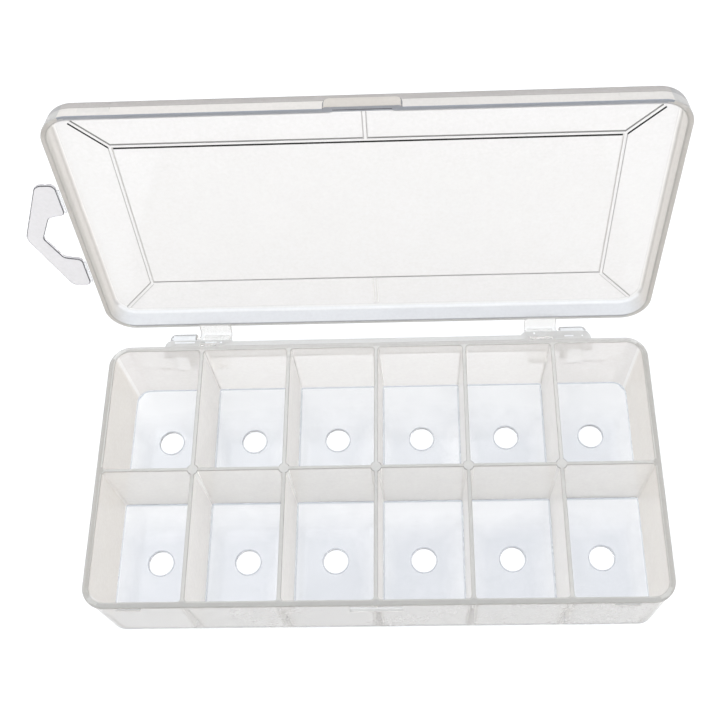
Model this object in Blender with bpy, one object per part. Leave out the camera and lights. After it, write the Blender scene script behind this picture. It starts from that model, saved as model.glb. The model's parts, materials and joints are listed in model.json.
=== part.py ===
# Twelve-compartment dispenser box with an open, snap-hinged lid and a hang tab.
#
# Frame: metres, +Z up, origin at the centre of the tray's underside.
# +X runs along the long side to the right, -Y is the front (latch side),
# +Y is the back (hinge side).  The box stands with its lid at the open stop.
import math

import bmesh
import bpy
from mathutils import Matrix, Vector

MM = 0.001

# ------------------------------------------------------------------ tray ----
TRAY_H = 29.5                      # rim height above the underside
TRAY_TOP = (85.50, 42.50)          # half length / half width, outside, at rim
TRAY_BOT = (84.40, 41.60)          # the same at the underside (draft)
TRAY_R = 6.8                       # plan radius of the four corners
TRAY_EDGE_R = 1.2                  # radius round the underside
FLOOR_T = 1.3                      # floor thickness
IN_TOP = (83.57, 40.70)            # inside faces at the rim
IN_FLOOR = (83.00, 40.20)          # inside faces at the floor
IN_R = 4.6                         # plan radius inside the outer corners
CELL_R = 0.8                       # plan radius in the other cell corners
PITCH = 27.92                      # compartment pitch along X
DIV_TOP, DIV_FLOOR = 0.63, 1.10    # half thickness of the cross walls
MID_TOP, MID_FLOOR = 0.52, 1.12    # half thickness of the long middle wall
DIV_DROP = 0.15                    # wall tops lie this far under the rim
HOLE_R = 3.93                      # dispensing hole in each floor
HOLE_Y = 20.8                      # hole rows at +-HOLE_Y
POST_R = 1.68                      # ejector posts where the walls cross
PAD_R = 1.15                       # smaller pads in the outer walls' tops
PAD_X, PAD_Y, PAD_Z = 84.2, 41.15, 22.0

LEDGE_Z = (23.6, 24.4)             # shelf along the back, under the lid's rim
LEDGE_Y = 46.8
LEDGE_X = 69.3                     # its ends, widened where it meets the wall
LEDGE_LEFT_Y = 47.3                # the shelf is deeper at the hinges
LEDGE_RIGHT_Y = 48.1
STEP_Z = (15.4, 15.9)              # thin steps on the back wall by the hinges
STEP_OUT = 0.40

CATCH_X = 7.8                      # middle catch on the front wall, half width
CATCH_Y = 43.20
CATCH_Z = (24.6, 26.1)
BEAD_X = (68.1, 75.4)              # the two snap beads on the front wall
BEAD_Y = 42.78
BEAD_Z = (26.7, 27.9)

# ----------------------------------------------------------------- hinge ----
HINGE_Y, HINGE_Z = 48.20, 21.50    # lid axis, parallel to X
OPEN_DEG = 100.0                   # lid angle at the open stop
EAR_X = (59.2, 68.2)               # ear barrels on the tray, |x|
EAR_R = 2.5
BORE_R, BORE_END = 1.35, 65.6
ARM_X = (48.3, 58.6)               # lid arms, |x|
ARM_R = 1.8
PIN_R, PIN_END = 1.08, 65.2
GUSSET_X = (61.7, 66.8)            # solid gusset under each ear, |x|
GUSSET_T = 1.5

# ------------------------------------------------------------------- lid ----
LID_GAP = 0.3                      # seat above the tray rim when closed
LID_OVER = 4.8                     # depth of the rim recess that covers it
LID_Z0 = TRAY_H - LID_OVER + LID_GAP
LID_H = 7.2                        # outside depth
LID_RIM = (87.80, 44.77)
LID_TOP = (87.20, 44.15)
LID_R = 9.0
LID_EDGE_R = 1.5
REC_RIM = (86.05, 43.15)           # recess inside the rim
REC_SEAT = (85.95, 43.05)
REC_R = 7.3
PAN_SEAT = (83.90, 40.90)          # shallow inner recess, up to the panel
PAN_IN = (83.60, 40.60)
PAN_R = 5.2
PANEL_W = 6.0                      # inner face of the panel, above the rim
RIB_W, RIB_H = 1.1, 0.4
RIB_U = 71.6                       # rib rectangle, half length
RIB_V = (15.65, 73.60)             # its long sides, from the rear edge
RIB_END = 10.9                     # diagonals run this far out, each way
RIB_MID = (3.9, 85.4)              # ends of the two middle ribs
LIP_X, LIP_OUT, LIP_H = 10.5, 0.75, 5.0
GROOVE_X, GROOVE_Y = 8.3, 43.75
NOTCH_X, NOTCH_Y = (67.4, 76.1), 43.50

# -------------------------------------------------------------- hang tab ----
TAB_T = 1.2
TAB_V0 = 43.3                      # middle of the tab, from the rear edge
WEB_T = 0.35
WEB_X = (88.0, 88.6)
WEB_V = (10.6, 19.6)               # each film web, from the tab's middle
TAB_AXIS_X, TAB_AXIS_W = 88.3, 0.2

NAME = "dubbing_dispenser_box"


# ------------------------------------------------------------- utilities ----
for ob in list(bpy.data.objects):
    bpy.data.objects.remove(ob, do_unlink=True)
for me in list(bpy.data.meshes):
    if not me.users:
        bpy.data.meshes.remove(me)

scene = bpy.context.scene
parts = bpy.data.collections.new(NAME)
scene.collection.children.link(parts)
cutters = bpy.data.collections.new("cutters")
scene.collection.children.link(cutters)


def material(name, color, rough):
    m = bpy.data.materials.new(name)
    m.use_nodes = True
    b = m.node_tree.nodes["Principled BSDF"]
    b.inputs["Base Color"].default_value = (*color, 1.0)
    b.inputs["Roughness"].default_value = rough
    b.inputs["Metallic"].default_value = 0.0
    m.diffuse_color = (*color, 1.0)
    return m


def new_object(name, bm, collection):
    me = bpy.data.meshes.new(name)
    bm.normal_update()
    bm.to_mesh(me)
    bm.free()
    ob = bpy.data.objects.new(name, me)
    collection.objects.link(ob)
    return ob


def tapered_box(name, low, high, z0, z1, radii, seg=6, edge=None, edge_seg=3,
                center=(0.0, 0.0)):
    """Box whose half sizes go from `low` at z0 to `high` at z1.

    `low`/`high` are (xmin, xmax, ymin, ymax).  `radii` is one plan radius, or
    four in the order (-x-y, +x-y, +x+y, -x+y).  `edge` is ("low"|"high", r).
    """
    if not isinstance(radii, (tuple, list)):
        radii = (radii,) * 4
    bm = bmesh.new()
    bmesh.ops.create_cube(bm, size=2.0)
    for v in bm.verts:
        s = low if v.co.z < 0 else high
        v.co = Vector(((s[0] if v.co.x < 0 else s[1]) * MM,
                       (s[2] if v.co.y < 0 else s[3]) * MM,
                       (z0 if v.co.z < 0 else z1) * MM))
    mx = (low[0] + low[1]) / 2 * MM
    my = (low[2] + low[3]) / 2 * MM
    order = {(-1, -1): 0, (1, -1): 1, (1, 1): 2, (-1, 1): 3}
    groups = {}
    for e in bm.edges:
        a, b = (v.co for v in e.verts)
        if abs(a.z - b.z) > 1e-6:
            key = (1 if a.x > mx else -1, 1 if a.y > my else -1)
            r = radii[order[key]]
            if r > 0:
                groups.setdefault(r, []).append((a.copy(), b.copy()))
    for r, ends in groups.items():
        sel = []
        for a, b in ends:
            for e in bm.edges:
                p, q = (v.co for v in e.verts)
                if ((p - a).length < 1e-7 and (q - b).length < 1e-7) or \
                   ((q - a).length < 1e-7 and (p - b).length < 1e-7):
                    sel.append(e)
        bmesh.ops.bevel(bm, geom=sel, offset=r * MM, segments=seg,
                        profile=0.5, affect="EDGES", clamp_overlap=True)
    if edge:
        zz = (z0 if edge[0] == "low" else z1) * MM
        sel = [e for e in bm.edges
               if all(abs(v.co.z - zz) < 1e-7 for v in e.verts)]
        bmesh.ops.bevel(bm, geom=sel, offset=edge[1] * MM, segments=edge_seg,
                        profile=0.5, affect="EDGES", clamp_overlap=True)
    bmesh.ops.recalc_face_normals(bm, faces=bm.faces)
    return new_object(name, bm, cutters)


def box(name, x0, x1, y0, y1, z0, z1, bevel=0.0, seg=2):
    bm = bmesh.new()
    bmesh.ops.create_cube(bm, size=2.0)
    for v in bm.verts:
        v.co = Vector(((x0 if v.co.x < 0 else x1) * MM,
                       (y0 if v.co.y < 0 else y1) * MM,
                       (z0 if v.co.z < 0 else z1) * MM))
    if bevel:
        bmesh.ops.bevel(bm, geom=list(bm.edges), offset=bevel * MM,
                        segments=seg, profile=0.5, affect="EDGES")
    bmesh.ops.recalc_face_normals(bm, faces=bm.faces)
    return new_object(name, bm, cutters)


def cylinder(name, r, x, y, z0, z1, n=32, r2=None):
    bm = bmesh.new()
    bmesh.ops.create_cone(bm, cap_ends=True, segments=n, radius1=r * MM,
                          radius2=(r if r2 is None else r2) * MM,
                          depth=(z1 - z0) * MM)
    bmesh.ops.translate(bm, vec=(x * MM, y * MM, (z0 + z1) / 2 * MM),
                        verts=bm.verts)
    return new_object(name, bm, cutters)


def rod_x(name, r, x0, x1, y, z, n=32, bevel_at=None, bevel=0.0, seg=4):
    bm = bmesh.new()
    bmesh.ops.create_cone(bm, cap_ends=True, segments=n, radius1=r * MM,
                          radius2=r * MM, depth=abs(x1 - x0) * MM)
    bmesh.ops.rotate(bm, cent=(0, 0, 0), verts=bm.verts,
                     matrix=Matrix.Rotation(math.pi / 2, 3, "Y"))
    bmesh.ops.translate(bm, vec=((x0 + x1) / 2 * MM, y * MM, z * MM),
                        verts=bm.verts)
    if bevel_at is not None:
        sel = [e for e in bm.edges
               if all(abs(v.co.x - bevel_at * MM) < 1e-7 for v in e.verts)]
        bmesh.ops.bevel(bm, geom=sel, offset=bevel * MM, segments=seg,
                        profile=0.5, affect="EDGES")
    bmesh.ops.recalc_face_normals(bm, faces=bm.faces)
    return new_object(name, bm, cutters)


def outline(name, pts, thickness, matrix):
    """Flat outline as a filled 2D curve, extruded both ways, then meshed."""
    cu = bpy.data.curves.new(name, "CURVE")
    cu.dimensions = "2D"
    cu.fill_mode = "BOTH"
    cu.extrude = thickness / 2 * MM
    sp = cu.splines.new("POLY")
    sp.points.add(len(pts) - 1)
    for p, (a, b) in zip(sp.points, pts):
        p.co = (a * MM, b * MM, 0.0, 1.0)
    sp.use_cyclic_u = True
    tmp = bpy.data.objects.new(name + "_outline", cu)
    cutters.objects.link(tmp)
    tmp.matrix_world = matrix
    bpy.context.view_layer.update()
    dg = bpy.context.evaluated_depsgraph_get()
    me = bpy.data.meshes.new_from_object(tmp.evaluated_get(dg))
    ob = bpy.data.objects.new(name, me)
    ob.matrix_world = tmp.matrix_world.copy()
    cutters.objects.link(ob)
    bpy.data.objects.remove(tmp, do_unlink=True)
    me.transform(ob.matrix_world)
    ob.matrix_world = Matrix.Identity(4)
    bm = bmesh.new()
    bm.from_mesh(me)
    bmesh.ops.remove_doubles(bm, verts=bm.verts, dist=1e-6)
    bmesh.ops.recalc_face_normals(bm, faces=bm.faces)
    bm.to_mesh(me)
    bm.free()
    return ob


def profile_yz(name, pts, x0, x1):
    """Outline given as (y, z) points, extruded along X from x0 to x1."""
    m = Matrix(((0, 0, 1, (x0 + x1) / 2 * MM), (1, 0, 0, 0), (0, 1, 0, 0),
                (0, 0, 0, 1)))
    return outline(name, pts, abs(x1 - x0), m)


def plate_xy(name, pts, z0, z1):
    return outline(name, pts, z1 - z0, Matrix.Translation((0, 0, (z0 + z1) / 2 * MM)))


def boolean(target, others, operation):
    """Apply Boolean modifiers one after the other, exact solver."""
    for other in others:
        mod = target.modifiers.new(other.name, "BOOLEAN")
        mod.operation = operation
        mod.solver = "EXACT"
        mod.object = other
    bpy.context.view_layer.update()
    dg = bpy.context.evaluated_depsgraph_get()
    me = bpy.data.meshes.new_from_object(target.evaluated_get(dg))
    old = target.data
    target.modifiers.clear()
    target.data = me
    bpy.data.meshes.remove(old)
    for other in others:
        bpy.data.objects.remove(other, do_unlink=True)


def tidy(ob):
    bm = bmesh.new()
    bm.from_mesh(ob.data)
    bmesh.ops.remove_doubles(bm, verts=bm.verts, dist=2e-6)
    bmesh.ops.dissolve_limit(bm, angle_limit=math.radians(0.05),
                             verts=bm.verts, edges=bm.edges)
    bmesh.ops.triangulate(bm, faces=bm.faces)
    bm.to_mesh(ob.data)
    bm.free()


def finish(ob, name, mat, parent=None, pivot=None):
    ob.name = name
    ob.data.name = name
    cutters.objects.unlink(ob)
    parts.objects.link(ob)
    ob.data.materials.clear()
    ob.data.materials.append(mat)
    tidy(ob)
    if pivot is not None:
        ob.data.transform(Matrix.Translation(-pivot))
    if parent is not None:
        ob.parent = parent
    ob.data.shade_smooth()
    ob.data.set_sharp_from_angle(angle=math.radians(30))
    return ob


def empty(name, location, parent=None, rotation=(0.0, 0.0, 0.0)):
    e = bpy.data.objects.new(name, None)
    parts.objects.link(e)
    e.empty_display_size = 0.01
    e.parent = parent
    e.location = location
    e.rotation_euler = rotation
    return e


def lerp_size(low, high, z, z0, z1):
    t = (z - z0) / (z1 - z0)
    return tuple(a + (b - a) * t for a, b in zip(low, high))


clear_pp = material("clear_polypropylene", (0.80, 0.80, 0.78), 0.30)
clear_lid = material("clear_polypropylene_lid", (0.86, 0.85, 0.85), 0.28)
clear_tab = material("clear_polypropylene_tab", (0.82, 0.81, 0.82), 0.25)
film = material("polypropylene_film", (0.88, 0.88, 0.88), 0.25)

# ------------------------------------------------------------------- tray ---
tray = tapered_box(
    "tray",
    (-TRAY_BOT[0], TRAY_BOT[0], -TRAY_BOT[1], TRAY_BOT[1]),
    (-TRAY_TOP[0], TRAY_TOP[0], -TRAY_TOP[1], TRAY_TOP[1]),
    0.0, TRAY_H, TRAY_R, seg=10, edge=("low", TRAY_EDGE_R), edge_seg=3)

# things on the outside of the walls
adds = []
adds.append(plate_xy("rear_shelf", [
    (-LEDGE_X, 41.0), (LEDGE_X, 41.0), (LEDGE_X, 45.3),
    (LEDGE_X - 0.9, LEDGE_RIGHT_Y - 0.7), (LEDGE_X - 1.6, LEDGE_RIGHT_Y),
    (47.8, LEDGE_RIGHT_Y), (46.6, LEDGE_Y), (-46.9, LEDGE_Y),
    (-47.4, LEDGE_LEFT_Y), (-LEDGE_X + 0.9, LEDGE_LEFT_Y),
    (-LEDGE_X, 45.6)],
    LEDGE_Z[0], LEDGE_Z[1]))
for x0, x1 in ((-73.7, -67.6), (67.4, 70.4), (72.1, 74.0)):
    adds.append(box("wall_step", x0, x1, 41.2, 42.1 + STEP_OUT,
                    STEP_Z[0], STEP_Z[1], bevel=0.12, seg=1))
for s in (-1, 1):
    adds.append(rod_x("ear", EAR_R, s * EAR_X[0], s * EAR_X[1], HINGE_Y,
                      HINGE_Z, bevel_at=s * EAR_X[1], bevel=1.9))
    xs = sorted((s * GUSSET_X[0], s * GUSSET_X[1]))
    adds.append(profile_yz("gusset", [
        (41.2, 14.4), (42.9, 14.4), (HINGE_Y + 1.3, HINGE_Z - 1.9),
        (HINGE_Y + 0.2, HINGE_Z + 0.4), (HINGE_Y - 0.8, 24.0),
        (41.2, 24.0)], *xs))
    xs = sorted((s * EAR_X[0], s * (EAR_X[0] + GUSSET_T)))
    adds.append(profile_yz("ear_web", [
        (41.2, 18.6), (43.0, 18.6), (HINGE_Y + 1.2, HINGE_Z - 1.7),
        (HINGE_Y + 0.1, HINGE_Z + 0.3), (HINGE_Y - 0.9, 23.9),
        (41.2, 23.9)], *xs))
    xs = sorted((s * 49.3, s * 57.6))
    adds.append(profile_yz("stop_shelf", [
        (41.2, 15.4), (42.6, 15.4), (51.3, 17.0), (51.9, 17.5),
        (51.9, 18.67), (49.8, 19.04), (49.5, 18.3), (41.2, 18.3)], *xs))
adds.append(box("catch", -CATCH_X, CATCH_X, -CATCH_Y, -41.2,
                CATCH_Z[0], CATCH_Z[1], bevel=0.3))
for s in (-1, 1):
    xs = sorted((s * BEAD_X[0], s * BEAD_X[1]))
    adds.append(box("bead", xs[0], xs[1], -BEAD_Y, -41.6,
                    BEAD_Z[0], BEAD_Z[1], bevel=0.15, seg=1))
boolean(tray, adds, "UNION")

# the twelve cells
cuts = []
top_z = TRAY_H + 1.0
for j in (-1, 1):
    for i in range(6):
        def face(k, half_floor, half_top, wall_floor, wall_top, zz):
            """x of the cell face on grid line k (0..6) at height zz."""
            t = (zz - FLOOR_T) / (TRAY_H - FLOOR_T)
            if k == 0:
                return -(wall_floor + (wall_top - wall_floor) * t), 0
            if k == 6:
                return wall_floor + (wall_top - wall_floor) * t, 0
            return (k - 3) * PITCH, half_floor + (half_top - half_floor) * t

        sizes = []
        for zz in (FLOOR_T, top_z):
            x0, h0 = face(i, DIV_FLOOR, DIV_TOP, IN_FLOOR[0], IN_TOP[0], zz)
            x1, h1 = face(i + 1, DIV_FLOOR, DIV_TOP, IN_FLOOR[0], IN_TOP[0], zz)
            t = (zz - FLOOR_T) / (TRAY_H - FLOOR_T)
            yo = IN_FLOOR[1] + (IN_TOP[1] - IN_FLOOR[1]) * t
            yi = MID_FLOOR + (MID_TOP - MID_FLOOR) * t
            ys = (yi, yo) if j > 0 else (-yo, -yi)
            sizes.append((x0 + h0, x1 - h1, ys[0], ys[1]))
        r = [CELL_R] * 4
        if i == 0:
            r[3 if j > 0 else 0] = IN_R
        if i == 5:
            r[2 if j > 0 else 1] = IN_R
        cuts.append(tapered_box("cell_%d_%d" % (i, j), sizes[0], sizes[1],
                                FLOOR_T, top_z, tuple(r), seg=4,
                                edge=("low", 0.5), edge_seg=2))
        cuts.append(cylinder("hole_%d_%d" % (i, j), HOLE_R, (i - 2.5) * PITCH,
                             j * HOLE_Y, -1.0, FLOOR_T + 1.0, n=48))
boolean(tray, cuts, "DIFFERENCE")

# wall tops a touch under the rim
t_in = lerp_size(IN_FLOOR, IN_TOP, TRAY_H, FLOOR_T, TRAY_H)
t_in = (t_in[0] - 0.2, t_in[1] - 0.2)
drop = tapered_box("wall_top_drop",
                   (-t_in[0], t_in[0], -t_in[1], t_in[1]),
                   (-t_in[0], t_in[0], -t_in[1], t_in[1]),
                   TRAY_H - DIV_DROP, TRAY_H + 1.0, IN_R + 0.3, seg=6)
boolean(tray, [drop], "DIFFERENCE")

posts = []
for k in range(1, 6):
    x = (k - 3) * PITCH
    posts.append(cylinder("post_%d" % k, POST_R + 0.10, x, 0.0, 0.6,
                          TRAY_H - 0.02, n=24, r2=POST_R))
    posts.append(cylinder("pad_%d" % k, PAD_R - 0.3, x, -PAD_Y, PAD_Z,
                          TRAY_H - 0.02, n=20, r2=PAD_R))
for s in (-1, 1):
    posts.append(cylinder("end_pad", PAD_R - 0.3, s * PAD_X, 0.0, PAD_Z,
                          TRAY_H - 0.02, n=20, r2=PAD_R))
boolean(tray, posts, "UNION")

# hinge bores, blind, open on the inner side of each ear; cored slots
bores = [rod_x("bore", BORE_R, s * (EAR_X[0] - 1.0), s * BORE_END, HINGE_Y,
               HINGE_Z, n=32) for s in (-1, 1)]
bores += [box("slot_b", -57.9, -52.4, 45.0, 46.0, 23.0, 25.0),
          box("slot_c", 49.4, 56.9, 45.0, 46.0, 23.0, 25.0)]
boolean(tray, bores, "DIFFERENCE")
finish(tray, "tray", clear_pp)

# -------------------------------------------------------------------- lid ---
# Modelled closed, over the tray, then hung on its axis and swung open.
Z0 = LID_Z0
lid = tapered_box("lid",
                  (-LID_RIM[0], LID_RIM[0], -LID_RIM[1], LID_RIM[1]),
                  (-LID_TOP[0], LID_TOP[0], -LID_TOP[1], LID_TOP[1]),
                  Z0, Z0 + LID_H, LID_R, seg=10,
                  edge=("high", LID_EDGE_R), edge_seg=4)
lip = tapered_box("lip",
                  (-LIP_X, LIP_X, -LID_RIM[1] - LIP_OUT, -43.9),
                  (-LIP_X, LIP_X, -LID_RIM[1] - LIP_OUT + 0.25, -43.3),
                  Z0, Z0 + LIP_H, (1.0, 1.0, 0, 0), seg=3,
                  edge=("high", 0.35), edge_seg=2)
boolean(lid, [lip], "UNION")

rec = tapered_box("rim_recess",
                  (-REC_RIM[0], REC_RIM[0], -REC_RIM[1], REC_RIM[1]),
                  (-REC_SEAT[0], REC_SEAT[0], -REC_SEAT[1], REC_SEAT[1]),
                  Z0 - 0.5, Z0 + LID_OVER, REC_R, seg=10)
pan = tapered_box("panel_recess",
                  (-PAN_SEAT[0], PAN_SEAT[0], -PAN_SEAT[1], PAN_SEAT[1]),
                  (-PAN_IN[0], PAN_IN[0], -PAN_IN[1], PAN_IN[1]),
                  Z0 + LID_OVER - 0.5, Z0 + PANEL_W, PAN_R, seg=8,
                  edge=("high", 0.5), edge_seg=2)
grooves = [box("groove", -GROOVE_X, GROOVE_X, -GROOVE_Y, -42.0, Z0 - 0.5,
               Z0 + 2.2)]
for s in (-1, 1):
    xs = sorted((s * NOTCH_X[0], s * NOTCH_X[1]))
    grooves.append(box("notch", xs[0], xs[1], -NOTCH_Y, -42.0,
                       Z0 + 1.2, Z0 + 3.9))
boolean(lid, [rec, pan] + grooves, "DIFFERENCE")

# ribs on the panel's inner face: rectangle, diagonals, two middle ribs
z_in = Z0 + PANEL_W
y_of = lambda v: LID_RIM[1] - v
ribs = []
yr = (y_of(RIB_V[0]), y_of(RIB_V[1]))
frame_out = box("ribs", -RIB_U - RIB_W / 2, RIB_U + RIB_W / 2,
                yr[1] - RIB_W / 2, yr[0] + RIB_W / 2, z_in - RIB_H, z_in + 0.4)
frame_in = box("rib_window", -RIB_U + RIB_W / 2, RIB_U - RIB_W / 2,
               yr[1] + RIB_W / 2, yr[0] - RIB_W / 2, z_in - 1.0, z_in + 1.0)
boolean(frame_out, [frame_in], "DIFFERENCE")
ribs.append(frame_out)
for sx in (-1, 1):
    for yc, sy in ((yr[0], 1), (yr[1], -1)):
        length = RIB_END * math.sqrt(2.0)
        b = box("diagonal", -0.3, length, -RIB_W / 2, RIB_W / 2,
                z_in - RIB_H - 0.02, z_in + 0.38)
        ang = math.atan2(sy, sx)
        b.data.transform(Matrix.Translation((sx * RIB_U * MM, yc * MM, 0)) @
                         Matrix.Rotation(ang, 4, "Z"))
        ribs.append(b)
for v0, v1 in ((RIB_MID[0], RIB_V[0]), (RIB_V[1], RIB_MID[1])):
    ribs.append(box("middle_rib", -RIB_W / 2, RIB_W / 2, y_of(v1), y_of(v0),
                    z_in - RIB_H - 0.04, z_in + 0.36))
boolean(lid, ribs, "UNION")

# hinge arms: back over the shelf, down behind it, barrel and outward pin
arms = []
ya = LID_RIM[1] - 1.2
for s in (-1, 1):
    xs = sorted((s * ARM_X[0], s * ARM_X[1]))
    neck_in = HINGE_Z + 3.80
    pts = [(ya, neck_in), (HINGE_Y - 0.2, neck_in),
           (HINGE_Y + 0.15, neck_in - 0.15), (HINGE_Y + 0.30, neck_in - 0.5),
           (HINGE_Y + 0.30, HINGE_Z + 0.4),
           (HINGE_Y + 0.6, HINGE_Z - 0.8), (HINGE_Y + 1.5, HINGE_Z - 0.9),
           (HINGE_Y + ARM_R, HINGE_Z),
           (HINGE_Y + ARM_R, neck_in + 0.2),
           (HINGE_Y + ARM_R - 0.4, neck_in + 1.1),
           (HINGE_Y + ARM_R - 1.3, neck_in + 1.5), (ya, neck_in + 1.5)]
    arms.append(profile_yz("arm", pts, *xs))
    arms.append(rod_x("barrel", ARM_R, xs[0] + 0.02, xs[1] - 0.02, HINGE_Y,
                      HINGE_Z, n=32))
    arms.append(rod_x("pin", PIN_R, s * (ARM_X[1] - 1.0), s * PIN_END, HINGE_Y,
                      HINGE_Z, n=24, bevel_at=s * PIN_END, bevel=0.4, seg=2))
boolean(lid, arms, "UNION")

axis = Vector((0.0, HINGE_Y * MM, HINGE_Z * MM))
lid_axis = empty("lid_axis", axis,
                 rotation=(math.radians(-OPEN_DEG), 0.0, 0.0))
finish(lid, "lid", clear_lid, parent=lid_axis, pivot=axis)

# --------------------------------------------------------------- hang tab ---
y_mid = y_of(TAB_V0)


def tab_outline():
    """Chevron hanger: one half by rule, mirrored about its middle."""
    half = [(-102.9, 0.0), (-102.7, 1.6), (-95.6, 18.9)]
    # outer end of the leg, rounded
    cx, cy, r = -92.6, 18.4, 3.0
    for k in range(7):
        a = math.radians(165 - 75 * k / 6)
        half.append((cx + r * math.cos(a), cy + r * math.sin(a)))
    cx, cy, r = -90.7, 19.5, 1.9
    for k in range(7):
        a = math.radians(90 - 90 * k / 6)
        half.append((cx + r * math.cos(a), cy + r * math.sin(a)))
    cx, cy, r = -90.5, 10.9, 1.7
    for k in range(6):
        a = math.radians(-90 * k / 5)
        half.append((cx + r * math.cos(a), cy + r * math.sin(a)))
    cx, cy, r = -92.6, 6.6, 2.1
    for k in range(5):
        a = math.radians(100 + 60 * k / 4)
        half.append((cx + r * math.cos(a), cy + r * math.sin(a)))
    half += [(-97.5, 1.0), (-97.75, 0.0)]
    lower = [(x, -y) for x, y in reversed(half[1:-1])]
    return half + lower


pts = [(x, y_mid + dy) for x, dy in tab_outline()]
tab = plate_xy("hang_tab", pts, Z0, Z0 + TAB_T)
tab_pivot = Vector((-TAB_AXIS_X * MM, y_mid * MM, (Z0 + TAB_AXIS_W) * MM))
tab_axis = empty("hang_tab_axis", tab_pivot - axis, parent=lid_axis)
finish(tab, "hang_tab", clear_tab, parent=tab_axis, pivot=tab_pivot)

for label, sy in (("front", -1), ("rear", 1)):
    ys = sorted((y_mid + sy * WEB_V[0], y_mid + sy * WEB_V[1]))
    web = box("web", -WEB_X[1], -WEB_X[0], ys[0], ys[1], Z0, Z0 + WEB_T)
    finish(web, "hang_tab_web_" + label, film, parent=lid_axis, pivot=axis)

for ob in list(cutters.objects):
    bpy.data.objects.remove(ob, do_unlink=True)
bpy.data.collections.remove(cutters)
bpy.context.view_layer.update()
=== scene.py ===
import json
import math

import bmesh
import bpy
import numpy as np
from mathutils import Matrix, Vector

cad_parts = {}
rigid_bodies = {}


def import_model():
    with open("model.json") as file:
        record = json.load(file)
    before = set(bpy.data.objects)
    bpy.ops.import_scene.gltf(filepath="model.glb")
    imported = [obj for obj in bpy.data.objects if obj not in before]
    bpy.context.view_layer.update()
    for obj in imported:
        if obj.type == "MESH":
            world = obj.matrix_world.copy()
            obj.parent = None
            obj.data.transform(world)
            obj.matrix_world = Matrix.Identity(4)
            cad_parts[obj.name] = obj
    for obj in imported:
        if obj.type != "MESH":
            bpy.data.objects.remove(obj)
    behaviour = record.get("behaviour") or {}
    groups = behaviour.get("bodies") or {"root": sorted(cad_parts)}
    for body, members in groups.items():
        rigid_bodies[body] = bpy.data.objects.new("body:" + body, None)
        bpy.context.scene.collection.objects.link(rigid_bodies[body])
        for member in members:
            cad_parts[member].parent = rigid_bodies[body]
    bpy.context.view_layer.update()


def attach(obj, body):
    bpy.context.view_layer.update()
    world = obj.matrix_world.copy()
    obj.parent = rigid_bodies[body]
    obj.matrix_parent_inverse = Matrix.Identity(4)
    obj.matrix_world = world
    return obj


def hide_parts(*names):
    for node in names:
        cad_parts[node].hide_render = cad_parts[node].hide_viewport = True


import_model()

MM = 0.001
scene = bpy.context.scene

# ---------------------------------------------------------------- sizes ----
# Lengths in millimetres, in the row frame, as in the CAD model.
TRAY_H = 29.5
RIM = (85.50, 42.50)
WALL_HI = (85.08, 42.12)           # wall's outer face just under the rim bead
WALL_LO = (84.40, 41.60)
PITCH = 27.92
HOLE_R, HOLE_Y = 3.93, 20.8
FLOOR_T = 1.3
IN_TOP, IN_FLOOR = (83.57, 40.70), (83.00, 40.20)
DIV_TOP, DIV_FLOOR = 0.63, 1.10
MID_TOP, MID_FLOOR = 0.56, 1.12

HINGE_Y, HINGE_Z = 48.20, 21.50
OPEN_DEG = 100.0
EAR_X, EAR_R = (59.2, 68.2), 2.5
ARM_X, ARM_R = (48.3, 58.6), 1.8

Z0 = 25.0                          # lid rim when closed
LID_H = 7.2
LID_RIM, LID_TOP = (87.80, 44.77), (87.20, 44.15)
PANEL_W = 6.0
RIB_U, RIB_V = 71.6, (15.65, 73.60)
TAB_V0, TAB_T = 43.3, 1.2


# ------------------------------------------------------------- utilities ----
work = bpy.data.collections.new("work")
scene.collection.children.link(work)
shown = bpy.data.collections.new("dispenser_box")
scene.collection.children.link(shown)


def mesh_object(name, bm):
    me = bpy.data.meshes.new(name)
    bm.normal_update()
    bm.to_mesh(me)
    bm.free()
    ob = bpy.data.objects.new(name, me)
    work.objects.link(ob)
    return ob


def rounded_rect(x0, x1, y0, y1, radii, seg):
    """Corner points anticlockwise from (x0, y0); one radius for each corner."""
    pts = []
    for (cx, cy, sx, sy, a0), r in zip(
            ((x0, y0, 1, 1, 180), (x1, y0, -1, 1, 270),
             (x1, y1, -1, -1, 0), (x0, y1, 1, -1, 90)), radii):
        r = max(r, 0.02)
        for k in range(seg + 1):
            a = math.radians(a0 + 90.0 * k / seg)
            pts.append((cx + sx * r + r * math.cos(a),
                        cy + sy * r + r * math.sin(a)))
    return pts


def loft(name, rings):
    """Closed solid through rings of equal length, each [(x, y, z), ...]."""
    bm = bmesh.new()
    loops = [[bm.verts.new((x * MM, y * MM, z * MM)) for x, y, z in ring]
             for ring in rings]
    n = len(loops[0])
    for a, b in zip(loops, loops[1:]):
        for i in range(n):
            j = (i + 1) % n
            bm.faces.new((a[i], a[j], b[j], b[i]))
    bm.faces.new(list(reversed(loops[0])))
    bm.faces.new(loops[-1])
    bmesh.ops.recalc_face_normals(bm, faces=bm.faces)
    return mesh_object(name, bm)


def rect_loft(name, levels, seg=6):
    """levels: (z, x0, x1, y0, y1, radii)."""
    rings = []
    for z, x0, x1, y0, y1, radii in levels:
        if not isinstance(radii, (tuple, list)):
            radii = (radii,) * 4
        rings.append([(x, y, z) for x, y in
                      rounded_rect(x0, x1, y0, y1, radii, seg)])
    return loft(name, rings)


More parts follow.
